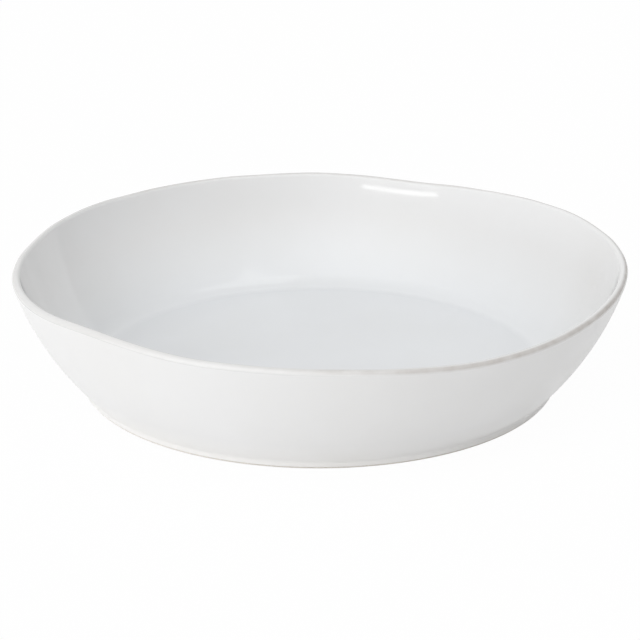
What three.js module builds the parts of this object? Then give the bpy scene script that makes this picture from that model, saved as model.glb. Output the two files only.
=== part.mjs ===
// Salad bowl: a wide, shallow stoneware bowl with a lip shaped by hand, standing on a foot ring.
// Millimetres, +Z up. The origin is the centre of the plane that the bowl stands on.
import * as THREE from "three";

// Overall sizes, over the glaze, before the lip is shaped by hand
const RIM_DIAMETER = 340;
const RIM_HEIGHT = 68;

// Clay wall and floor
const WALL = 3.6; // the same from the cove up to the lip, which is a full round
const WALL_BULGE = 155; // radius of the wall's outward curve, on its outside
const FLOOR = 3.6;
const COVE_RADIUS = 18; // sweep from the flat floor up into the wall

// Foot ring
const FOOT_DIAMETER = 265;
const FOOT_WIDTH = 7;
const RECESS = 2.4; // depth of the hollow inside the ring, up to the seam between ring and floor
const FOOT_ROUND = 1; // on both edges of the standing face
const CREASE_HEIGHT = 4.3; // where the wall's curve would run into the side of the foot
const CREASE_FILLET = 5;

// Glaze coats
const GLAZE = 0.5;
const RIM_GLAZE = 0.3; // the coat runs thin over the top of the lip
const BARE_EDGE = 0.3; // clay left bare above the rounds of the standing face
const POOL_RADIUS = 0.5; // glaze gathered in the corner of the recess

// Hand shaping of the lip: how far a full push moves it up (rise) and out (spread)
const LIP_RISE = 3.4;
const LIP_SPREAD = 1.5;
// Each push as shares of a full one, less than nothing for down and in. Angles are in degrees
// about +Z from +X, and reach is how far to each side the push is felt.
const PUSHES = [
  { at: 22, reach: 14, rise: 0.45, spread: 0.6 },
  { at: 67, reach: 11, rise: -0.75, spread: 0 },
  { at: 170, reach: 9, rise: -0.45, spread: -0.9 },
  { at: 192, reach: 11, rise: -0.2, spread: -0.2 },
  { at: 227, reach: 11, rise: 1, spread: 0 },
  { at: 268, reach: 12, rise: 0.2, spread: 0 },
  { at: 303, reach: 16, rise: -0.85, spread: 0 },
  { at: 335, reach: 10, rise: -0.25, spread: 0.2 },
  { at: 354, reach: 9, rise: 0.5, spread: 0.2 },
];

// Facets
const TURN_STEPS = 64;
const WALL_STEPS = 7;
const LIP_STEPS = 6;
const COVE_STEPS = 5;
const FILLET_STEPS = 3;
const ROUND_STEPS = 3;

// Finishes
const WHITE_GLAZE = { color: 0xf1f1ee, roughness: 0.15 };
const THIN_GLAZE = { color: 0xe6e2da, roughness: 0.2 };
const BARE_CLAY = { color: 0xcfc5b4, roughness: 0.85 };

const point = (r, z) => new THREE.Vector2(r, z);

// A point on a circle in the section plane.
function onCircle(centre, radius, angle) {
  return point(centre.x + radius * Math.cos(angle), centre.y + radius * Math.sin(angle));
}

// Points along a circle, both ends included.
function arc(centre, radius, from, to, steps) {
  const points = [];
  for (let i = 0; i <= steps; i++) {
    points.push(onCircle(centre, radius, from + ((to - from) * i) / steps));
  }
  return points;
}

const angleFrom = (a, b) => Math.atan2(b.y - a.y, b.x - a.x);

// The point at one distance from a and another from b, on the side towards the axis of the bowl.
function meetingPoint(a, fromA, b, fromB) {
  const span = a.distanceTo(b);
  const along = (fromA ** 2 - fromB ** 2 + span ** 2) / (2 * span);
  const across = Math.sqrt(fromA ** 2 - along ** 2);
  const way = b.clone().sub(a).divideScalar(span);
  return point(a.x + way.x * along - way.y * across, a.y + way.y * along + way.x * across);
}

// A rising curve with a point put in where it passes a height.
function pointAtHeight(curve, height) {
  const next = curve.findIndex((p) => p.y > height);
  const low = curve[next - 1];
  const high = curve[next];
  const share = (height - low.y) / (high.y - low.y);
  const crossing = point(low.x + (high.x - low.x) * share, height);
  const start = curve.filter((p) => p.y < height);
  return [...start, crossing, ...curve.slice(next)];
}

const above = (curve, height) => curve.filter((p) => p.y >= height);
const below = (curve, height) => curve.filter((p) => p.y <= height);

// Section of the bowl: every circle that the wall, the lip, the cove and the crease are drawn with
const footRadius = FOOT_DIAMETER / 2;
const footInside = footRadius - FOOT_WIDTH;
const floorHeight = RECESS + FLOOR;
const bareHeight = FOOT_ROUND + BARE_EDGE;
const lip = point(RIM_DIAMETER / 2 - GLAZE - WALL / 2, RIM_HEIGHT - GLAZE - WALL / 2);
const bulge = meetingPoint(point(footRadius, CREASE_HEIGHT), WALL_BULGE, lip, WALL_BULGE - WALL / 2);
const lipLean = angleFrom(bulge, lip);

const creaseReach = footRadius + CREASE_FILLET - bulge.x;
const creaseDrop = Math.sqrt((WALL_BULGE + CREASE_FILLET) ** 2 - creaseReach ** 2);
const crease = point(footRadius + CREASE_FILLET, bulge.y - creaseDrop);
const creaseLean = angleFrom(bulge, crease);

const coveSpan = WALL_BULGE - WALL - COVE_RADIUS;
const coveDrop = bulge.y - floorHeight - COVE_RADIUS;
const cove = point(bulge.x + Math.sqrt(coveSpan ** 2 - coveDrop ** 2), floorHeight + COVE_RADIUS);
const coveLean = angleFrom(bulge, cove);

// Outside of the bowl, from the standing plane up to the lip, at a depth of coat over the clay.
function outside(coat) {
  const side = point(footRadius + coat, 0);
  const fillet = arc(crease, CREASE_FILLET - coat, Math.PI, creaseLean + Math.PI, FILLET_STEPS);
  const wall = arc(bulge, WALL_BULGE + coat, creaseLean, lipLean, WALL_STEPS);
  const curve = [side, ...fillet, ...wall.slice(1)];
  return pointAtHeight(pointAtHeight(curve, bareHeight), RECESS);
}

// Inside of the bowl, from the lip down to the middle of the floor.
function inside(coat) {
  const wall = arc(bulge, WALL_BULGE - WALL - coat, lipLean, coveLean, WALL_STEPS);
  const sweep = arc(cove, COVE_RADIUS - coat, coveLean, -Math.PI / 2, COVE_STEPS);
  return [...wall, ...sweep.slice(1), point(0, floorHeight + coat)];
}

// Round of the lip, from the outside over the top to the inside, under a coat that thins to its middle.
function lipRound(coat, coatOnTop) {
  const points = [];
  for (let i = 0; i <= LIP_STEPS; i++) {
    const share = i / LIP_STEPS;
    const depth = coat + (coatOnTop - coat) * Math.sin(Math.PI * share) ** 2;
    points.push(onCircle(lip, WALL / 2 + depth, lipLean + Math.PI * share));
  }
  return points;
}

// How much of the hand shaping is felt at a height: none at the floor, all of it at the lip.
function shapingAt(height) {
  const low = floorHeight + GLAZE;
  const share = THREE.MathUtils.clamp((height - low) / (lip.y - low), 0, 1);
  return share * share * (3 - 2 * share);
}

// A push fades away evenly to both sides of its middle and meets itself round the back.
function pushFelt(push, turn) {
  const reach = THREE.MathUtils.degToRad(push.reach);
  return Math.exp((Math.cos(turn - THREE.MathUtils.degToRad(push.at)) - 1) / reach ** 2);
}

// Moves each point of a round piece as the lip was moved, so that coats stay on the clay.
function handShape(geometry) {
  const positions = geometry.getAttribute("position");
  for (let i = 0; i < positions.count; i++) {
    const x = positions.getX(i);
    const y = positions.getY(i);
    const z = positions.getZ(i);
    const felt = shapingAt(z);
    if (felt === 0) continue;
    const turn = Math.atan2(y, x);
    const radius = Math.hypot(x, y);
    let spread = 0;
    let rise = 0;
    for (const push of PUSHES) {
      spread += LIP_SPREAD * push.spread * pushFelt(push, turn);
      rise += LIP_RISE * push.rise * pushFelt(push, turn);
    }
    const grown = (radius + spread * felt) / radius;
    positions.setXYZ(i, x * grown, y * grown, z + rise * felt);
  }
  geometry.computeVertexNormals();
}

// Splits each four-sided facet the same way whichever way the section runs, so that a coat and
// the clay under it share their facets after the hand shaping.
function splitAlike(geometry, section) {
  const rows = section.length;
  const faces = [];
  for (let step = 0; step < TURN_STEPS; step++) {
    for (let row = 0; row < rows - 1; row++) {
      const a = step * rows + row;
      const b = a + rows;
      const c = b + 1;
      const d = a + 1;
      const rising = section[row + 1].y > section[row].y;
      faces.push(...(rising ? [a, b, d, b, c, d] : [a, b, c, a, c, d]));
    }
  }
  geometry.setIndex(faces);
}

// A piece turned from a section that runs anticlockwise, seen with the axis on its left.
function turned(name, section, finish) {
  const geometry = new THREE.LatheGeometry(section, TURN_STEPS);
  splitAlike(geometry, section);
  geometry.rotateX(Math.PI / 2);
  handShape(geometry);
  const material = new THREE.MeshStandardMaterial({ ...finish, metalness: 0 });
  const mesh = new THREE.Mesh(geometry, material);
  mesh.name = name;
  return mesh;
}

const closed = (section) => [...section, section[0]];

function clayBody() {
  const section = [
    point(0, RECESS),
    ...above(outside(0), RECESS),
    ...lipRound(0, 0).slice(1),
    ...inside(0).slice(1),
  ];
  return turned("clay_body", section, BARE_CLAY);
}

function footRing() {
  const side = above(below(outside(0), RECESS), bareHeight);
  const outerRound = point(footRadius - FOOT_ROUND, FOOT_ROUND);
  const innerRound = point(footInside + FOOT_ROUND, FOOT_ROUND);
  const section = [
    ...arc(outerRound, FOOT_ROUND, -Math.PI / 2, 0, ROUND_STEPS),
    ...side,
    point(footInside, RECESS),
    point(footInside, bareHeight),
    ...arc(innerRound, FOOT_ROUND, Math.PI, (3 * Math.PI) / 2, ROUND_STEPS),
  ];
  return turned("foot_ring", closed(section), BARE_CLAY);
}

function outerGlaze() {
  const clay = above(outside(0), bareHeight);
  const coat = above(outside(GLAZE), bareHeight);
  const section = [clay[0], ...coat, ...clay.slice(1).reverse()];
  return turned("outer_glaze", closed(section), WHITE_GLAZE);
}

function innerGlaze() {
  const section = [...inside(0).reverse(), ...inside(GLAZE)];
  return turned("inner_glaze", section, WHITE_GLAZE);
}

function rimGlaze() {
  const section = [...lipRound(GLAZE, RIM_GLAZE), ...lipRound(0, 0).reverse()];
  return turned("rim_glaze", closed(section), THIN_GLAZE);
}

function baseGlaze() {
  const ceiling = RECESS - GLAZE;
  const wall = footInside - GLAZE;
  const corner = point(wall - POOL_RADIUS, ceiling - POOL_RADIUS);
  const section = [
    point(0, ceiling),
    ...arc(corner, POOL_RADIUS, Math.PI / 2, 0, ROUND_STEPS),
    point(wall, bareHeight),
    point(footInside, bareHeight),
    point(footInside, RECESS),
    point(0, RECESS),
  ];
  return turned("base_glaze", section, WHITE_GLAZE);
}

const bowl = new THREE.Group();
bowl.name = "salad_bowl";
bowl.add(clayBody(), footRing(), outerGlaze(), innerGlaze(), rimGlaze(), baseGlaze());

export default bowl;
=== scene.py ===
"""Salad bowl: a wide, shallow white stoneware bowl with a hand-shaped lip, on a plain studio floor.

The pieces repeat the sizes of the solids, in metres, as fine surfaces: the clay body and its foot
ring, and the four coats of glaze that are fired on to them.
"""
from __future__ import annotations

import logging
import math
from abc import ABC, abstractmethod
from dataclasses import dataclass
from enum import Enum
from typing import Any

import bpy
import numpy as np
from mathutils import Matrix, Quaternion, Vector


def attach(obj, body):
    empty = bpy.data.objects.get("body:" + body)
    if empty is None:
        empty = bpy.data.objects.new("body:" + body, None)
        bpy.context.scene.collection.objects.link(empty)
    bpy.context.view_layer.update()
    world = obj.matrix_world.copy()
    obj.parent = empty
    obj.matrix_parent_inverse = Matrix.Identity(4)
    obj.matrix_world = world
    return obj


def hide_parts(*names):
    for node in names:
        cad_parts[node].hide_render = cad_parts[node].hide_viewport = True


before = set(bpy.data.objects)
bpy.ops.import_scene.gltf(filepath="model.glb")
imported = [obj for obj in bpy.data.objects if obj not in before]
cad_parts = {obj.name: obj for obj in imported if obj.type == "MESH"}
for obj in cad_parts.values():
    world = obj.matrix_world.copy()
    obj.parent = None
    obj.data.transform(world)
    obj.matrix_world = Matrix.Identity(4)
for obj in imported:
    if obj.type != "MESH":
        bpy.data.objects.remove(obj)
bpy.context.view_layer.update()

log = logging.getLogger("salad_bowl")

Colour = tuple[float, float, float]
Place = tuple[float, float, float]
Stops = tuple[tuple[float, Colour], ...]
Socket = bpy.types.NodeSocket

MM = 0.001
UP: Place = (0, 0, 1)
BODY = "root"
LIP_TURN = "lip_turn"

# A row nearer to the axis than this is one point
ON_AXIS = 1e-9
# Digits to which two rows of the section are told apart, in metres
ROW_DIGITS = 8
# Edges that turn by more than this are sharp
SHARP_ANGLE = math.radians(32)
# Colour sockets of Blender's Mix node, whose names are shared by its other sockets
MIX_FIRST, MIX_SECOND, MIX_RESULT = 6, 7, 2


class Slot(Enum):
    """The record's material slots that the pieces' finishes belong to."""

    CLAY = "clay"
    GLAZE = "glaze"
    RIM = "rim"


class Blend(Enum):
    """Ways to lay one colour over another."""

    COVERED = "MIX"
    TINTED = "MULTIPLY"


class Measured(Enum):
    """Where a shader measures a place or a direction from."""

    PIECE = "Object"
    SURROUNDINGS = "Generated"


# Shape of the bowl


@dataclass(frozen=True)
class Push:
    """One place where the lip was moved by hand.

    Attributes:
        at: Direction of the push's middle, in degrees about +Z from +X.
        reach: How far to each side the push is felt, in degrees.
        rise: Share of a full upward push.
        spread: Share of a full outward push.
    """

    at: float
    reach: float
    rise: float
    spread: float

    def felt(self, turn: np.ndarray) -> np.ndarray:
        """Gives how much of the push is felt in some directions.

        Args:
            turn: Directions about the axis, in radians.

        Returns:
            The share felt in each direction, 1 at the push's middle.
        """
        reach = math.radians(self.reach)
        return np.exp((np.cos(turn - math.radians(self.at)) - 1) / reach**2)


@dataclass(frozen=True)
class Tremor:
    """A small wave left in the lip by the fingers.

    Attributes:
        waves: Whole waves in one turn.
        rise: Height of the wave, in metres.
        spread: Depth of the wave, in metres.
        start: Direction of a crest, in degrees.
    """

    waves: int
    rise: float
    spread: float
    start: float

    def felt(self, turn: np.ndarray) -> np.ndarray:
        """Gives the wave in some directions, from -1 to 1."""
        return np.cos(self.waves * (turn - math.radians(self.start)))


@dataclass(frozen=True)
class HandShape:
    """The hand shaping of the lip, which fades away down the wall.

    Attributes:
        low: Height below which nothing is felt, in metres.
        high: Height above which all of it is felt, in metres.
        full_rise: Upward move of a full push, in metres.
        full_spread: Outward move of a full push, in metres.
        pushes: The places where the lip was pushed.
        tremors: The small waves left between them.
    """

    low: float
    high: float
    full_rise: float = 3.4 * MM
    full_spread: float = 1.5 * MM
    pushes: tuple[Push, ...] = (
        Push(22, 14, 0.45, 0.6),
        Push(67, 11, -0.75, 0),
        Push(170, 9, -0.45, -0.9),
        Push(192, 11, -0.2, -0.2),
        Push(227, 11, 1, 0),
        Push(240, 26, 0.34, 0),
        Push(268, 12, 0.2, 0),
        Push(303, 16, -0.85, 0),
        Push(335, 10, 0.3, 0.2),
        Push(354, 9, 0.5, 0.2),
    )
    tremors: tuple[Tremor, ...] = (
        Tremor(13, 0.10 * MM, 0.08 * MM, 5),
        Tremor(22, 0.07 * MM, 0.05 * MM, 11),
        Tremor(37, 0.03 * MM, 0.02 * MM, 2),
    )

    def moved(self, points: np.ndarray) -> np.ndarray:
        """Moves points as the lip was moved.

        Args:
            points: Places in metres, with the three coordinates on the last axis.

        Returns:
            The moved places, in an array of the same shape.
        """
        x, y, z = points[..., 0], points[..., 1], points[..., 2]
        turn = np.arctan2(y, x)
        share = np.clip((z - self.low) / (self.high - self.low), 0, 1)
        share = share * share * (3 - 2 * share)
        rise = np.zeros_like(z)
        spread = np.zeros_like(z)
        for push in self.pushes:
            rise += self.full_rise * push.rise * push.felt(turn)
            spread += self.full_spread * push.spread * push.felt(turn)
        for tremor in self.tremors:
            rise += tremor.rise * tremor.felt(turn)
            spread += tremor.spread * tremor.felt(turn)
        out = spread * share
        moved = [x + out * np.cos(turn), y + out * np.sin(turn), z + rise * share]
        return np.stack(moved, axis=-1)


def on_circle(centre: np.ndarray, radius: float | np.ndarray, angles: np.ndarray) -> np.ndarray:
    """Gives points on a circle of the section plane.

    Args:
        centre: Radius and height of the circle's centre.
        radius: Radius of the circle, or one for each point.
        angles: Directions from the centre, in radians from straight out.

    Returns:
        Rows of radius and height.
    """
    ways = np.stack([np.cos(angles), np.sin(angles)], axis=-1)
    return centre + ways * np.broadcast_to(radius, angles.shape)[:, None]


def angle_from(a: np.ndarray, b: np.ndarray) -> float:
    """Gives the direction from one point of the section to another, in radians."""
    return math.atan2(b[1] - a[1], b[0] - a[0])


@dataclass(frozen=True)
class BowlSection:
    """The section that every piece of the bowl is turned from, in metres.

    The sizes have the names and values that the solids are made with, and the steps are finer.
    """

    rim_diameter: float = 340 * MM
    rim_height: float = 68 * MM
    wall: float = 3.6 * MM
    wall_bulge: float = 155 * MM
    floor: float = 3.6 * MM
    cove_radius: float = 18 * MM
    foot_diameter: float = 265 * MM
    foot_width: float = 7 * MM
    recess: float = 2.4 * MM
    foot_round: float = 1 * MM
    crease_height: float = 4.3 * MM
    crease_fillet: float = 5 * MM
    glaze: float = 0.5 * MM
    rim_glaze: float = 0.3 * MM
    bare_edge: float = 0.3 * MM
    pool_radius: float = 0.5 * MM
    wall_steps: int = 26
    lip_steps: int = 18
    cove_steps: int = 18
    floor_steps: int = 10
    fillet_steps: int = 8
    side_steps: int = 3
    round_steps: int = 6

    @property
    def foot_radius(self) -> float:
        """Outer radius of the foot ring."""
        return self.foot_diameter / 2

    @property
    def foot_inside(self) -> float:
        """Inner radius of the foot ring."""
        return self.foot_radius - self.foot_width

    @property
    def floor_height(self) -> float:
        """Height of the clay floor's upper face."""
        return self.recess + self.floor

    @property
    def bare_height(self) -> float:
        """Height at which the glaze on the foot begins."""
        return self.foot_round + self.bare_edge

    @property
    def lip(self) -> np.ndarray:
        """Centre of the lip's round."""
        inset = self.glaze + self.wall / 2
        return np.array([self.rim_diameter / 2 - inset, self.rim_height - inset])

    @property
    def bulge(self) -> np.ndarray:
        """Centre of the wall's outward curve."""
        start = np.array([self.foot_radius, self.crease_height])
        span = float(np.linalg.norm(self.lip - start))
        along = (self.wall_bulge**2 - (self.wall_bulge - self.wall / 2) ** 2 + span**2) / (2 * span)
        across = math.sqrt(self.wall_bulge**2 - along**2)
        way = (self.lip - start) / span
        return start + way * along + np.array([-way[1], way[0]]) * across

    @property
    def lip_lean(self) -> float:
        """Direction that the outside of the wall faces at the lip."""
        return angle_from(self.bulge, self.lip)

    @property
    def crease(self) -> np.ndarray:
        """Centre of the fillet between the wall and the foot."""
        radius = self.foot_radius + self.crease_fillet
        span = self.wall_bulge + self.crease_fillet
        drop = math.sqrt(span**2 - (radius - self.bulge[0]) ** 2)
        return np.array([radius, self.bulge[1] - drop])

    @property
    def crease_lean(self) -> float:
        """Direction that the wall faces where the fillet meets it."""
        return angle_from(self.bulge, self.crease)

    @property
    def cove(self) -> np.ndarray:
        """Centre of the sweep from the floor up into the wall."""
        height = self.floor_height + self.cove_radius
        span = self.wall_bulge - self.wall - self.cove_radius
        drop = self.bulge[1] - height
        return np.array([self.bulge[0] + math.sqrt(span**2 - drop**2), height])

    @property
    def cove_lean(self) -> float:
        """Direction from the wall's centre in which the sweep meets the wall."""
        return angle_from(self.bulge, self.cove)

    def side(self, radius: float, low: float, high: float) -> np.ndarray:
        """Gives an upright stretch of the foot, without its upper end.

        Args:
            radius: Distance from the axis.
            low: Height of the first point.
            high: Height just past the last point.

        Returns:
            Rows of radius and height.
        """
        heights = np.linspace(low, high, self.side_steps, endpoint=False)
        return np.stack([np.full(self.side_steps, radius), heights], axis=-1)

    def outside(self, coat: float) -> np.ndarray:
        """Gives the outside of the bowl, from where the glaze begins on the foot up to the lip.

        Args:
            coat: Depth of glaze over the clay.

        Returns:
            Rows of radius and height.
        """
        foot = self.side(self.foot_radius + coat, self.bare_height, float(self.crease[1]))
        turns = np.linspace(math.pi, self.crease_lean + math.pi, self.fillet_steps + 1)
        fillet = on_circle(self.crease, self.crease_fillet - coat, turns)
        leans = np.linspace(self.crease_lean, self.lip_lean, self.wall_steps + 1)
        wall = on_circle(self.bulge, self.wall_bulge + coat, leans)
        return np.concatenate([foot, fillet, wall[1:]])

    def parted(self) -> tuple[np.ndarray, np.ndarray]:
        """Parts the outside of the clay where the body sits on the foot ring.

        Returns:
            The ring's rows and the body's rows, which share the one at the seam.
        """
        outside = self.outside(0)
        first = int(np.argmax(outside[:, 1] > self.recess))
        low, high = outside[first - 1], outside[first]
        seam = low + (high - low) * (self.recess - low[1]) / (high[1] - low[1])
        ring = np.concatenate([outside[:first], [seam]])
        body = np.concatenate([[seam], outside[first:]])
        return ring, body

    def lip_round(self, coat: float, coat_on_top: float) -> np.ndarray:
        """Gives the round of the lip, from the outside over the top to the inside.

        Args:
            coat: Depth of glaze at both ends of the round.
            coat_on_top: Depth of glaze at its middle, where it has run thin.

        Returns:
            Rows of radius and height.
        """
        share = np.linspace(0, 1, self.lip_steps + 1)
        depth = coat + (coat_on_top - coat) * np.sin(math.pi * share) ** 2
        return on_circle(self.lip, self.wall / 2 + depth, self.lip_lean + math.pi * share)

    def inside(self, coat: float) -> np.ndarray:
        """Gives the inside of the bowl from the lip down to the middle of the floor.

        Args:
            coat: Depth of glaze over the clay.

        Returns:
            Rows of radius and height, the last on the axis.
        """
        leans = np.linspace(self.lip_lean, self.cove_lean, self.wall_steps + 1)
        wall = on_circle(self.bulge, self.wall_bulge - self.wall - coat, leans)
        turns = np.linspace(self.cove_lean, -math.pi / 2, self.cove_steps + 1)
        sweep = on_circle(self.cove, self.cove_radius - coat, turns)
        radii = np.linspace(float(sweep[-1, 0]), 0, self.floor_steps + 1)[1:]
        flat = np.stack([radii, np.full(self.floor_steps, self.floor_height + coat)], axis=-1)
        return np.concatenate([wall, sweep[1:], flat])

    def skin(self) -> np.ndarray:
        """Gives the glazed surface from the foot over the lip to the middle of the floor."""
        lip = self.lip_round(self.glaze, self.rim_glaze)
        return np.concatenate([self.outside(self.glaze), lip[1:], self.inside(self.glaze)[1:]])


class Lathe:
    """Turns sections into closed pieces and shapes them as the lip was shaped by hand."""

    def __init__(self, section: BowlSection, steps: int = 192) -> None:
        """Settles the hand shaping, and how the glazed skin faces.

        Args:
            section: The bowl's section.
            steps: Facets in one turn.
        """
        self.section = section
        self.steps = steps
        self.shape = HandShape(section.floor_height + section.glaze, float(section.lip[1]))
        self.facing = self._skin_facing()

    def turned(self, rows: np.ndarray) -> np.ndarray:
        """Turns a section about the axis and shapes it.

        Args:
            rows: Radius and height of each row.

        Returns:
            Places in metres, indexed by row and step.
        """
        turns = np.arange(self.steps) * (2 * math.pi / self.steps)
        x = rows[:, :1] * np.cos(turns)
        y = rows[:, :1] * np.sin(turns)
        z = np.repeat(rows[:, 1:], self.steps, axis=1)
        return self.shape.moved(np.stack([x, y, z], axis=-1))

    @staticmethod
    def _key(row: np.ndarray) -> tuple[float, float]:
        """Gives a section point in a form that can be looked up."""
        return round(float(row[0]), ROW_DIGITS), round(float(row[1]), ROW_DIGITS)

    def _skin_facing(self) -> dict[tuple[float, float], np.ndarray]:
        """Works out how the whole skin faces, so that its coats meet without a crease.

        Returns:
            For each row of the skin, the direction that it faces at each step.
        """
        rows = self.section.skin()
        grid = self.turned(rows)
        around = np.roll(grid, -1, axis=1) - np.roll(grid, 1, axis=1)
        facing = np.cross(around, np.gradient(grid, axis=0))
        facing[-1] = UP
        facing /= np.linalg.norm(facing, axis=-1, keepdims=True)
        return {self._key(row): faces for row, faces in zip(rows, facing)}

    def _numbered(self, rows: np.ndarray) -> tuple[list[np.ndarray], np.ndarray]:
        """Turns a section and numbers its points, one for a row that is on the axis.

        Args:
            rows: Radius and height of each row.

        Returns:
            The points, and the number of each by row and step.
        """
        points: list[np.ndarray] = []
        index = np.zeros((len(rows), self.steps), int)
        for row, places in enumerate(self.turned(rows)):
            on_axis = rows[row, 0] < ON_AXIS
            index[row] = len(points) + (0 if on_axis else np.arange(self.steps))
            points.extend(places[:1] if on_axis else places)
        return points, index

    def _facets(
        self, rows: np.ndarray, index: np.ndarray, closed: bool
    ) -> tuple[list[list[int]], np.ndarray]:
        """Joins the rows of a piece with facets.

        Args:
            rows: Radius and height of each row.
            index: Number of each point, by row and step.
            closed: True where the last row joins the first.

        Returns:
            The points of each facet, and how each corner of each facet faces, which is nowhere
            for a facet that isn't on the skin.
        """
        faces: list[list[int]] = []
        corners: list[np.ndarray] = []
        nowhere = np.zeros(len(UP))
        for row in range(len(rows) if closed else len(rows) - 1):
            after = (row + 1) % len(rows)
            ways = {k: self.facing.get(self._key(rows[k])) for k in (row, after)}
            on_skin = all(way is not None for way in ways.values())
            for step in range(self.steps):
                then = (step + 1) % self.steps
                facet: dict[int, np.ndarray] = {}
                for k, turn in ((row, step), (row, then), (after, then), (after, step)):
                    facet.setdefault(int(index[k, turn]), ways[k][turn] if on_skin else nowhere)
                faces.append(list(facet))
                corners.extend(facet.values())
        return faces, np.array(corners)

    def piece(self, name: str, rows: np.ndarray, closed: bool) -> bpy.types.Object:
        """Makes a piece from a section that runs anticlockwise, seen with the axis on its left.

        Args:
            name: Name of the piece.
            rows: Radius and height of each row.
            closed: True where the last row joins the first, False where both are on the axis.

        Returns:
            The piece, linked to the scene.
        """
        points, index = self._numbered(rows)
        faces, corners = self._facets(rows, index, closed)
        mesh = bpy.data.meshes.new(name)
        mesh.from_pydata(np.array(points).tolist(), [], faces)
        mesh.shade_smooth()
        mesh.set_sharp_from_angle(angle=SHARP_ANGLE)
        if corners.any():
            mesh.normals_split_custom_set(corners.tolist())
        made = bpy.data.objects.new(name, mesh)
        bpy.context.scene.collection.objects.link(made)
        return made


# Finishes


class Graph:
    """A tree of shader nodes, with short ways to add nodes and join them."""

    def __init__(self, tree: bpy.types.NodeTree) -> None:
        """Takes a tree and empties it.

        Args:
            tree: The tree of a material or of the surroundings.
        """
        self.tree = tree
        self.tree.nodes.clear()

    def node(
        self, kind: str, inputs: dict[str | int, Any] | None = None, **settings: Any
    ) -> bpy.types.Node:
        """Adds a node.

        Args:
            kind: Blender's name for the kind of node, without ShaderNode in front.
            inputs: Values for its input sockets, or output sockets to join to them.
            settings: The node's own settings.

        Returns:
            The new node.
        """
        node = self.tree.nodes.new("ShaderNode" + kind)
        for name, value in settings.items():
            setattr(node, name, value)
        for socket, value in (inputs or {}).items():
            if isinstance(value, Socket):
                self.tree.links.new(value, node.inputs[socket])
            else:
                node.inputs[socket].default_value = value
        return node

    def place(self, measured: Measured) -> Socket:
        """Adds the place or direction that is being coloured and gives its socket."""
        return self.node("TexCoord").outputs[measured.value]

    def toward(self, way: Place, measured: Measured) -> Socket:
        """Gives how far a place lies in a direction.

        Args:
            way: The direction, one unit long.
            measured: Where the place is measured from.

        Returns:
            The distance, below 0 on the other side.
        """
        inputs = {0: self.place(measured), 1: way}
        return self.node("VectorMath", inputs, operation="DOT_PRODUCT").outputs["Value"]

    def math(self, operation: str, *values: float | Socket) -> Socket:
        """Works out a number.

        Args:
            operation: Blender's name for the kind of sum.
            values: The one or two numbers that go into it.

        Returns:
            The result.
        """
        return self.node("Math", dict(enumerate(values)), operation=operation).outputs[0]


class Recipe(Graph):
    """A material in the making."""

    def __init__(self, name: str) -> None:
        """Starts an empty material.

        Args:
            name: Name of the material.
        """
        self.material = bpy.data.materials.new(name)
        self.material.use_nodes = True
        super().__init__(self.material.node_tree)

    def noise(self, size: float, detail: float = 2.0, roughness: float = 0.5) -> Socket:
        """Adds a noise fixed to the piece.

        Args:
            size: Width of its patches, in metres.
            detail: Finer layers on top.
            roughness: Strength of those layers.

        Returns:
            The noise's value, about 0.5 on average.
        """
        place = self.place(Measured.PIECE)
        inputs = {"Vector": place, "Scale": 1 / size, "Detail": detail, "Roughness": roughness}
        return self.node("TexNoise", inputs).outputs[0]

    def spread(
        self, value: Socket, low: float, high: float, start: float = 0.3, end: float = 0.7
    ) -> Socket:
        """Spreads a value evenly over a range.

        Args:
            value: The value, such as a noise.
            low: Result at the start and below.
            high: Result at the end and above.
            start: Value that gives the low result.
            end: Value that gives the high result.

        Returns:
            The spread value.
        """
        inputs = {"Value": value, "From Min": start, "From Max": end, "To Min": low, "To Max": high}
        return self.node("MapRange", inputs).outputs["Result"]

    def mix(self, share: Socket, a: Colour | Socket, b: Colour, blend: Blend) -> Socket:
        """Mixes two colours.

        Args:
            share: How much of the second colour there is.
            a: First colour.
            b: Second colour.
            blend: Whether the second colour covers the first or tints it.

        Returns:
            The mixed colour.
        """
        first = a if isinstance(a, Socket) else (*a, 1)
        inputs = {0: share, MIX_FIRST: first, MIX_SECOND: (*b, 1)}
        node = self.node("Mix", inputs, data_type="RGBA", blend_type=blend.value)
        return node.outputs[MIX_RESULT]

    def graded(self, value: Socket, stops: Stops) -> Socket:
        """Gives a colour that changes with a value.

        Args:
            value: The value, such as a height.
            stops: Values in rising order, each with its colour.

        Returns:
            The colour.
        """
        low, high = stops[0][0], stops[-1][0]
        node = self.node("ValToRGB", {"Fac": self.spread(value, 0, 1, low, high)})
        elements = node.color_ramp.elements
        elements[0].color = (*stops[0][1], 1)
        elements[1].color = (*stops[-1][1], 1)
        for place, colour in stops[1:-1]:
            elements.new((place - low) / (high - low)).color = (*colour, 1)
        return node.outputs["Color"]

    def bump(self, height: Socket, depth: float, over: Socket | None = None) -> Socket:
        """Raises a surface by a height.

        Args:
            height: The height, from 0 to 1.
            depth: What 1 stands for, in metres.
            over: A relief that this one lies on.

        Returns:
            The facing of the raised surface.
        """
        inputs: dict[str | int, Any] = {"Height": height, "Distance": depth, "Strength": 1.0}
        if over is not None:
            inputs["Normal"] = over
        return self.node("Bump", inputs).outputs["Normal"]

    def finish(self, inputs: dict[str | int, Any]) -> bpy.types.Material:
        """Adds the shader and gives the finished material.

        Args:
            inputs: Values or sockets for the shader's inputs.

        Returns:
            The material.
        """
        shader = self.node("BsdfPrincipled", inputs)
        self.node("OutputMaterial", {"Surface": shader.outputs["BSDF"]})
        return self.material


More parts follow.
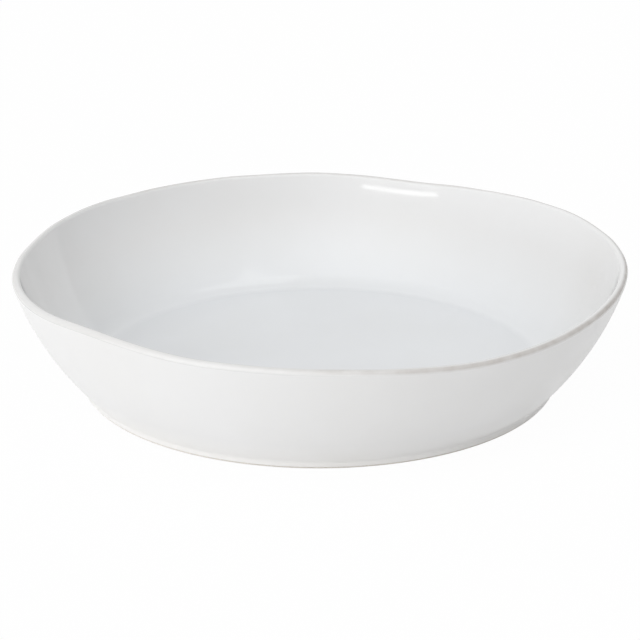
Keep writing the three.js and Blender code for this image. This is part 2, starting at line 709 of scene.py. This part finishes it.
@dataclass(frozen=True)
class GlossGlaze:
    """White gloss glaze, faintly mottled and a little wavy, as it flowed in the kiln.

    Attributes:
        name: Name of the material.
        white: Colour of most of the glaze.
        shade: Tint of its thinner, warmer patches.
        patch: Size of those patches, in metres.
        smooth: Least roughness.
        dull: Greatest roughness.
        sheen: Size of the patches of one roughness, in metres.
        bending: How strongly the glaze bends light.
        wave: Size of the slow waves, in metres.
        wave_depth: Depth of the slow waves, in metres.
        peel: Size of the fine ripple, in metres.
        peel_depth: Depth of the fine ripple, in metres.
    """

    name: str = "white_gloss_glaze"
    white: Colour = (0.82, 0.82, 0.82)
    shade: Colour = (0.978, 0.975, 0.968)
    patch: float = 70 * MM
    smooth: float = 0.07
    dull: float = 0.13
    sheen: float = 70 / 3 * MM
    bending: float = 1.5
    wave: float = 30 * MM
    wave_depth: float = 0.12 * MM
    peel: float = 3 * MM
    peel_depth: float = 0.004 * MM

    def tone(self, recipe: Recipe) -> Colour | Socket:
        """Gives the glaze's colour before it is mottled."""
        return self.white

    def colour(self, recipe: Recipe) -> Socket:
        """Adds the glaze's colour and gives its socket."""
        patches = recipe.spread(recipe.noise(self.patch, detail=3), 0, 1)
        return recipe.mix(patches, self.tone(recipe), self.shade, Blend.TINTED)

    def material(self) -> bpy.types.Material:
        """Makes the material.

        Returns:
            The material.
        """
        recipe = Recipe(self.name)
        waves = recipe.bump(recipe.noise(self.wave, detail=1), self.wave_depth)
        ripple = recipe.noise(self.peel, detail=1)
        return recipe.finish(
            {
                "Base Color": self.colour(recipe),
                "Roughness": recipe.spread(
                    recipe.noise(self.sheen, detail=3), self.smooth, self.dull
                ),
                "IOR": self.bending,
                "Normal": recipe.bump(ripple, self.peel_depth, waves),
            }
        )


@dataclass(frozen=True)
class GradedGlaze(GlossGlaze):
    """The same glaze with a colour that changes with height, which carries painted light and shade
    toward the bottom of the bowl.

    Attributes:
        stops: Heights in metres, from low to high, each with the glaze's colour there.
    """

    stops: Stops = ()

    def tone(self, recipe: Recipe) -> Socket:
        """Adds the colour that changes with height and gives its socket."""
        return recipe.graded(recipe.toward(UP, Measured.PIECE), self.stops)


@dataclass(frozen=True)
class InnerGlazePaintedShade(GradedGlaze):
    """The glaze inside the bowl, cooler toward the floor and the sweep, with the floor painted
    darker than the sweep and the wall as painted shade.
    """

    name: str = "inner_glaze_painted_shade"
    smooth: float = 0.05
    dull: float = 0.09
    # Painted shade: the lowest stop, on the floor, is darker than the sweep and the wall.
    stops: Stops = (
        (6.5 * MM, (0.772, 0.79, 0.81)),
        (7.3 * MM, (0.814, 0.831, 0.848)),
        (24 * MM, (0.822, 0.832, 0.84)),
        (44 * MM, GlossGlaze.white),
    )


@dataclass(frozen=True)
class SatinGlazePaintedLight(GradedGlaze):
    """The glaze on the outside, less shiny, warmer down on the foot, and painted paler there as
    painted light where shade falls on the foot.
    """

    name: str = "satin_outer_glaze_painted_light"
    smooth: float = 0.3
    dull: float = 0.42
    # Painted light: the stops on the foot are paler than the wall, to lift the shade there.
    stops: Stops = (
        (1 * MM, (0.86, 0.85, 0.838)),
        (6 * MM, (0.865, 0.86, 0.852)),
        (18 * MM, GlossGlaze.white),
    )


@dataclass(frozen=True)
class ThinGlazePaintedShade(GlossGlaze):
    """The same glaze where it runs thin over the lip and lets the warm clay through in a line.

    Places on the round of the lip go from 0 outside to 1 inside. The line is partly painted shade:
    it is painted stronger toward the right front, where the lip is in shade, weaker toward the lit
    left front, and on the far side it greys the top and inside of the round as painted shade.

    Attributes:
        clay: Colour that shows through.
        thinnest_and_shaded: Direction in which the glaze is thinnest and the lip lies in shade.
        thinning_and_shading: How far in that direction it starts to thin and is thinnest, and the
            line's painted shade grows, in metres.
        thickest_and_lit: Direction in which it is thickest and the lip is lit.
        healing_and_lighting: How far in that direction it starts to cover the line and paint the
            lip lighter, and stops, in metres.
        healed_and_lit: How much of the line it covers and paints lighter in that direction.
        top: Where on the round the line lies on the far side, where it is painted shade.
        edge: Where on the round it lies in the thinnest_and_shaded direction.
        reach: How far to each side of its middle it is half faded, on the round.
        fade: How far to each side of that it fades, on the round.
        faint: How much of it shows on the far side.
        strength: How much of it shows in the thinnest_and_shaded direction, partly as painted
            shade.
        streak: Size of its uneven stretches, in metres.
        streak_least: How much of it shows in the weakest of them.
        painted_lip_shade: Painted shade tint on the outside of the round on the far side.
        painted_lip_shade_end: Where on the round the painted shade starts to fade and ends.
    """

    name: str = "thin_lip_glaze_painted_shade"
    clay: Colour = (0.47, 0.435, 0.405)
    # The line is painted stronger toward the shaded right front and lighter toward the lit left
    # front.
    thinnest_and_shaded: Place = (0.84, -0.54, 0)
    thinning_and_shading: tuple[float, float] = (-20 * MM, 140 * MM)
    thickest_and_lit: Place = (-0.85, -0.53, 0)
    healing_and_lighting: tuple[float, float] = (20 * MM, 130 * MM)
    healed_and_lit: float = 0.8
    top: float = 0.66
    edge: float = 0.3
    reach: float = 0.2
    fade: float = 0.1
    faint: float = 0.36
    strength: float = 0.9
    streak: float = 14 * MM
    streak_least: float = 0.5
    # Painted shade on the outside of the round on the far side.
    painted_lip_shade: Colour = (0.88, 0.876, 0.87)
    painted_lip_shade_end: tuple[float, float] = (0.3, 0.6)

    def line(self, recipe: Recipe, lip: Socket, thin: Socket) -> Socket:
        """Gives how much of the warm line shows, which is partly painted shade.

        Args:
            recipe: The material in the making.
            lip: Place on the round of the lip.
            thin: How thin the glaze is, and where the line's painted shade lies, from 0 on the far
                side to 1.

        Returns:
            The share of the clay's colour.
        """
        # On the far side the line lies on the top of the round as painted shade.
        middle = recipe.spread(thin, self.top, self.edge, 0, 1)
        away = recipe.math("ABSOLUTE", recipe.math("SUBTRACT", lip, middle))
        line = recipe.spread(away, 1, 0, self.reach - self.fade, self.reach + self.fade)
        uneven = recipe.noise(self.streak, detail=3, roughness=0.6)
        uneven = recipe.spread(uneven, self.streak_least, 1)
        # Painted shade: the line shows more toward the right front, where the lip is in shade.
        shown = recipe.spread(thin, self.faint, self.strength, 0, 1)
        # Painted light: toward the lit left front the line is covered, so the lip is painted
        # lighter there.
        covered_and_lit = recipe.toward(self.thickest_and_lit, Measured.PIECE)
        bare = recipe.spread(covered_and_lit, 1, 1 - self.healed_and_lit, *self.healing_and_lighting)
        share = recipe.math("MULTIPLY", recipe.math("MULTIPLY", uneven, shown), bare)
        return recipe.math("MULTIPLY", line, share)

    def colour(self, recipe: Recipe) -> Socket:
        """Adds the glaze's colour with its painted shade on the lip and its warm line, which is
        partly painted shade.

        Args:
            recipe: The material in the making.

        Returns:
            The colour.
        """
        lip = recipe.node("Attribute", attribute_name=LIP_TURN).outputs["Fac"]
        thin = recipe.spread(recipe.toward(self.thinnest_and_shaded, Measured.PIECE), 0, 1, *self.thinning_and_shading)
        far = recipe.spread(thin, 1, 0, 0, 1)
        # Painted shade: the outside of the round on the far side is tinted darker.
        painted_lip_shade = recipe.math("MULTIPLY", far, recipe.spread(lip, 1, 0, *self.painted_lip_shade_end))
        painted_lip_shaded = recipe.mix(painted_lip_shade, super().colour(recipe), self.painted_lip_shade, Blend.TINTED)
        return recipe.mix(self.line(recipe, lip, thin), painted_lip_shaded, self.clay, Blend.COVERED)


@dataclass(frozen=True)
class BareClay:
    """Fired stoneware with no glaze: matt, grainy and warm.

    Attributes:
        name: Name of the material.
        pale: Colour of most of the clay.
        dark: Colour of its darker grains.
        darkest: How far the darkest grains go toward that colour.
        grain: Size of the grains, in metres.
        grain_depth: Depth of the grain, in metres.
        cloud: Size of the patches of one roughness, in metres.
        smooth: Least roughness.
        dull: Greatest roughness.
    """

    name: str = "bare_stoneware"
    pale: Colour = (0.80, 0.77, 0.72)
    dark: Colour = (0.66, 0.62, 0.56)
    darkest: float = 0.8
    grain: float = 0.8 * MM
    grain_depth: float = 0.03 * MM
    cloud: float = 24 * MM
    smooth: float = 0.78
    dull: float = 0.92

    def material(self) -> bpy.types.Material:
        """Makes the material.

        Returns:
            The material.
        """
        recipe = Recipe(self.name)
        grain = recipe.noise(self.grain, detail=4, roughness=0.65)
        grains = recipe.spread(grain, 0, self.darkest)
        return recipe.finish(
            {
                "Base Color": recipe.mix(grains, self.pale, self.dark, Blend.COVERED),
                "Roughness": recipe.spread(recipe.noise(self.cloud), self.smooth, self.dull),
                "Normal": recipe.bump(grain, self.grain_depth),
            }
        )


# Pieces of the bowl


@dataclass
class Piece(ABC):
    """A piece of the bowl that is turned from its own part of the section.

    Attributes:
        lathe: The lathe that turns it.
        finish: The finish that it wears.
        node: Name of the solid that it stands for.
        slot: The record's slot that its finish belongs to; not used.
        closed: True for a ring, False for a piece that meets the axis.
    """

    lathe: Lathe
    finish: GlossGlaze | BareClay
    node: str = ""
    slot: Slot = Slot.GLAZE
    closed: bool = True

    @property
    def bowl(self) -> BowlSection:
        """The section that all the pieces share."""
        return self.lathe.section

    @abstractmethod
    def section(self) -> np.ndarray:
        """Gives the piece's own section, as rows of radius and height."""

    def mark(self, mesh: bpy.types.Mesh) -> None:
        """Writes on the mesh what the finish reads from it, which is nothing on most pieces."""

    def make(self, materials: dict[str, bpy.types.Material]) -> bpy.types.Object:
        """Builds the piece, dresses it and puts it in place of its solid.

        Args:
            materials: Materials made so far, by name.

        Returns:
            The finished piece.
        """
        made = self.lathe.piece(self.node + "_fine", self.section(), self.closed)
        self.mark(made.data)
        name = self.finish.name
        if name not in materials:
            materials[name] = self.finish.material()
        made.data.materials.append(materials[name])
        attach(made, BODY)
        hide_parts(self.node)
        return made


@dataclass
class ClayBody(Piece):
    """Floor, wall and lip of fired clay, in one piece."""

    node: str = "clay_body"
    slot: Slot = Slot.CLAY
    closed: bool = False

    def section(self) -> np.ndarray:
        """Gives the body from the middle of its underside round to the middle of its floor.

        Returns:
            Rows of radius and height.
        """
        bowl = self.bowl
        underside = [[0, bowl.recess]]
        _, wall = bowl.parted()
        lip = bowl.lip_round(0, 0)
        return np.concatenate([underside, wall, lip[1:], bowl.inside(0)[1:]])


@dataclass
class FootRing(Piece):
    """Ring of clay that the bowl stands on, bare where it meets the table."""

    node: str = "foot_ring"
    slot: Slot = Slot.CLAY
    closed: bool = True

    def section(self) -> np.ndarray:
        """Gives the ring from its standing face up its side and down its inside.

        Returns:
            Rows of radius and height.
        """
        bowl = self.bowl
        side, _ = bowl.parted()
        inside = [[bowl.foot_inside, bowl.recess], [bowl.foot_inside, bowl.bare_height]]
        outer = np.array([bowl.foot_radius - bowl.foot_round, bowl.foot_round])
        inner = np.array([bowl.foot_inside + bowl.foot_round, bowl.foot_round])
        quarter = np.linspace(0, math.pi / 2, bowl.round_steps + 1)
        return np.concatenate(
            [
                on_circle(outer, bowl.foot_round, quarter - math.pi / 2),
                side,
                inside,
                on_circle(inner, bowl.foot_round, quarter + math.pi),
            ]
        )


@dataclass
class OuterGlaze(Piece):
    """Coat of glaze on the foot's side and the outside of the wall."""

    node: str = "outer_glaze"
    slot: Slot = Slot.GLAZE
    closed: bool = True

    def section(self) -> np.ndarray:
        """Gives the coat's skin up to the lip and its underside back down."""
        return np.concatenate([self.bowl.outside(self.bowl.glaze), self.bowl.outside(0)[::-1]])


@dataclass
class InnerGlaze(Piece):
    """Coat of glaze on the inside of the wall, the sweep and the floor."""

    node: str = "inner_glaze"
    slot: Slot = Slot.GLAZE
    closed: bool = False

    def section(self) -> np.ndarray:
        """Gives the coat's underside up to the lip and its skin back down."""
        return np.concatenate([self.bowl.inside(0)[::-1], self.bowl.inside(self.bowl.glaze)])


@dataclass
class RimGlaze(Piece):
    """Coat of glaze that runs thin over the round of the lip."""

    node: str = "rim_glaze"
    slot: Slot = Slot.RIM
    closed: bool = True

    def section(self) -> np.ndarray:
        """Gives the coat's skin over the lip and its underside back."""
        skin = self.bowl.lip_round(self.bowl.glaze, self.bowl.rim_glaze)
        return np.concatenate([skin, self.bowl.lip_round(0, 0)[::-1]])

    def mark(self, mesh: bpy.types.Mesh) -> None:
        """Writes how far over the lip each point is, from 0 outside to 1 inside.

        Args:
            mesh: The coat's mesh.
        """
        share = np.linspace(0, 1, self.bowl.lip_steps + 1)
        turns = np.repeat(np.concatenate([share, share[::-1]]), self.lathe.steps)
        lip_turn = mesh.attributes.new(LIP_TURN, "FLOAT", "POINT")
        lip_turn.data.foreach_set("value", turns.astype(np.float32))


@dataclass
class BaseGlaze(Piece):
    """Coat of glaze in the hollow under the floor, gathered in its corner."""

    node: str = "base_glaze"
    slot: Slot = Slot.GLAZE
    closed: bool = False

    def section(self) -> np.ndarray:
        """Gives the coat's skin from the axis out and down, and its underside back.

        Returns:
            Rows of radius and height.
        """
        bowl = self.bowl
        ceiling = bowl.recess - bowl.glaze
        wall = bowl.foot_inside - bowl.glaze
        corner = np.array([wall - bowl.pool_radius, ceiling - bowl.pool_radius])
        quarter = np.linspace(math.pi / 2, 0, bowl.round_steps + 1)
        radii = np.linspace(0, float(corner[0]), bowl.floor_steps, endpoint=False)
        flat = np.stack([radii, np.full(bowl.floor_steps, ceiling)], axis=-1)
        back = [
            [wall, bowl.bare_height],
            [bowl.foot_inside, bowl.bare_height],
            [bowl.foot_inside, bowl.recess],
            [0, bowl.recess],
        ]
        return np.concatenate([flat, on_circle(corner, bowl.pool_radius, quarter), back])


# Studio


@dataclass(frozen=True)
class SoftBox:
    """A soft box that shines on the bowl.

    Attributes:
        name: Name of the lamp.
        way: Direction from the bowl to the lamp.
        distance: How far away it is, in metres.
        width: Width of its face, in metres.
        height: Height of its face, in metres.
        power: Power, in watts.
        roll: Turn about the direction that it shines in, in degrees.
        aim: Point that it is turned to, in metres.
    """

    name: str
    way: Place
    distance: float
    width: float
    height: float
    power: float
    roll: float = 0.0
    aim: Place = (0.0, 0.0, 40 * MM)

    def make(self) -> bpy.types.Object:
        """Makes the lamp and puts it in the scene.

        Returns:
            The lamp.
        """
        light = bpy.data.lights.new(self.name, "AREA")
        light.shape = "RECTANGLE"
        light.size, light.size_y = self.width, self.height
        light.energy = self.power
        lamp = bpy.data.objects.new(self.name, light)
        back = Vector(self.way).normalized()
        lamp.location = Vector(self.aim) + back * self.distance
        turn = Quaternion(UP, math.radians(self.roll))
        lamp.rotation_euler = (back.to_track_quat("Z", "Y") @ turn).to_euler()
        bpy.context.scene.collection.objects.link(lamp)
        return lamp


@dataclass(frozen=True)
class Glow:
    """Soft white light from one side of the surroundings, with no edge.

    Attributes:
        way: Direction from the bowl to the middle of the glow.
        strength: Brightness at its middle.
        focus: How fast it fades, 1 for a whole half of the surroundings.
    """

    way: Place
    strength: float
    focus: float = 1.0

    def light(self, graph: Graph) -> Socket:
        """Gives the glow's brightness in each direction.

        Args:
            graph: The nodes of the surroundings.

        Returns:
            The brightness.
        """
        facing = graph.toward(tuple(Vector(self.way).normalized()), Measured.SURROUNDINGS)
        share = graph.math("POWER", graph.math("MAXIMUM", facing, 0), self.focus)
        return graph.math("MULTIPLY", share, self.strength)


@dataclass(frozen=True)
class Studio:
    """A plain white floor, soft light and a camera a little above the lip.

    Attributes:
        target: Point that the camera looks at, in metres.
        elevation: Height of the camera above the horizon, in degrees.
        distance: Distance of the camera from that point, in metres.
        lens: Focal length, in millimetres.
        sensor: Width of the camera's sensor, in millimetres.
        floor_side: Side of the floor, in metres.
        floor_colour: Colour of the floor.
        floor_shine: How much of the floor's white in the picture is there without light.
        surround: Brightness of the light from all round.
        glows: The soft lights that are added to it.
        boxes: The soft boxes.
    """

    target: Place = (0.6 * MM, 0.0, 32.1 * MM)
    elevation: float = 20.42
    distance: float = 1.3
    lens: float = 130.35
    sensor: float = 36.0
    floor_side: float = 12.0
    floor_colour: Colour = (0.88, 0.88, 0.88)
    floor_shine: float = 0.97
    surround: float = 0.12
    glows: tuple[Glow, ...] = (
        Glow((-0.35, -0.61, 0.71), 1.16, 5),
        Glow((0, -0.64, 0.77), 0.52, 5),
        Glow((0.66, -0.24, 0.71), 0.74, 5),
        Glow((-1, 0, 0), 0.65),
        Glow((0, 1, 0), 0.37),
        Glow((0, 0.94, 0.34), 0.38, 20),
    )
    boxes: tuple[SoftBox, ...] = (
        SoftBox("table_box", (-0.8, -0.6, 0.035), 2.2, 2, 0.22, 9),
        SoftBox("overhead_box", (0.28, 0, 0.96), 1.6, 1.1, 0.6, 2),
        SoftBox("low_strip", (-0.52, -0.755, 0.402), 2.5, 1.44, 0.1, 2.1, roll=6.0),
    )

    def camera(self) -> bpy.types.Object:
        """Makes the camera and gives it to the scene.

        Returns:
            The camera.
        """
        data = bpy.data.cameras.new("camera")
        data.sensor_width = self.sensor
        data.lens = self.lens
        camera = bpy.data.objects.new("camera", data)
        rise = math.radians(self.elevation)
        back = Vector((0, -math.cos(rise), math.sin(rise)))
        camera.location = Vector(self.target) + back * self.distance
        camera.rotation_euler = back.to_track_quat("Z", "Y").to_euler()
        bpy.context.scene.collection.objects.link(camera)
        bpy.context.scene.camera = camera
        return camera

    def floor_finish(self) -> bpy.types.Material:
        """Makes a white that shines by itself where it is seen, and is plain paint to the light.

        Returns:
            The material.
        """
        recipe = Recipe("white_floor")
        paint = recipe.node("BsdfDiffuse", {"Color": (*self.floor_colour, 1)}).outputs[0]
        shine = recipe.node("Emission", {"Color": (1, 1, 1, 1), "Strength": 1.0}).outputs[0]
        white = recipe.node("MixShader", {0: self.floor_shine, 1: paint, 2: shine}).outputs[0]
        path = recipe.node("LightPath").outputs
        seen = recipe.math("MAXIMUM", path["Is Camera Ray"], path["Is Glossy Ray"])
        seen = recipe.math("MAXIMUM", seen, path["Is Transmission Ray"])
        whole = recipe.node("MixShader", {0: seen, 1: paint, 2: white}).outputs[0]
        recipe.node("OutputMaterial", {"Surface": whole})
        return recipe.material

    def floor(self) -> bpy.types.Object:
        """Makes the floor, which looks white and keeps the bowl's shadow.

        Returns:
            The floor.
        """
        half = self.floor_side / 2
        corners = [(-half, -half, 0), (half, -half, 0), (half, half, 0), (-half, half, 0)]
        mesh = bpy.data.meshes.new("floor")
        mesh.from_pydata(corners, [], [(0, 1, 2, 3)])
        mesh.materials.append(self.floor_finish())
        floor = bpy.data.objects.new("floor", mesh)
        bpy.context.scene.collection.objects.link(floor)
        return floor

    def surroundings(self) -> None:
        """Sets an even light from all round, and the glows that are added to it."""
        world = bpy.data.worlds.new("surroundings")
        world.use_nodes = True
        graph = Graph(world.node_tree)
        light: float | Socket = self.surround
        for glow in self.glows:
            light = graph.math("ADD", glow.light(graph), light)
        background = graph.node("Background", {"Color": light, "Strength": 1.0})
        graph.node("OutputWorld", {"Surface": background.outputs[0]})
        bpy.context.scene.world = world

    def make(self) -> None:
        """Sets up the floor, the light and the camera."""
        self.camera()
        self.floor()
        self.surroundings()
        for box in self.boxes:
            box.make()
            log.info("lamp %s, %g W", box.name, box.power)
        bpy.context.scene.view_settings.view_transform = "Standard"


def main() -> None:
    """Builds the bowl and the studio, and logs how many facets each piece has."""
    logging.basicConfig(level=logging.INFO, format="%(name)s: %(message)s")
    lathe = Lathe(BowlSection())
    clay = BareClay()
    pieces: list[Piece] = [
        ClayBody(lathe=lathe, finish=clay),
        FootRing(lathe=lathe, finish=clay),
        OuterGlaze(lathe=lathe, finish=SatinGlazePaintedLight()),
        InnerGlaze(lathe=lathe, finish=InnerGlazePaintedShade()),
        RimGlaze(lathe=lathe, finish=ThinGlazePaintedShade()),
        BaseGlaze(lathe=lathe, finish=GlossGlaze()),
    ]
    materials: dict[str, bpy.types.Material] = {}
    for piece in pieces:
        made = piece.make(materials)
        log.info("%s: %d facets", made.name, len(made.data.polygons))
    Studio().make()


if __name__ == "__main__":
    main()
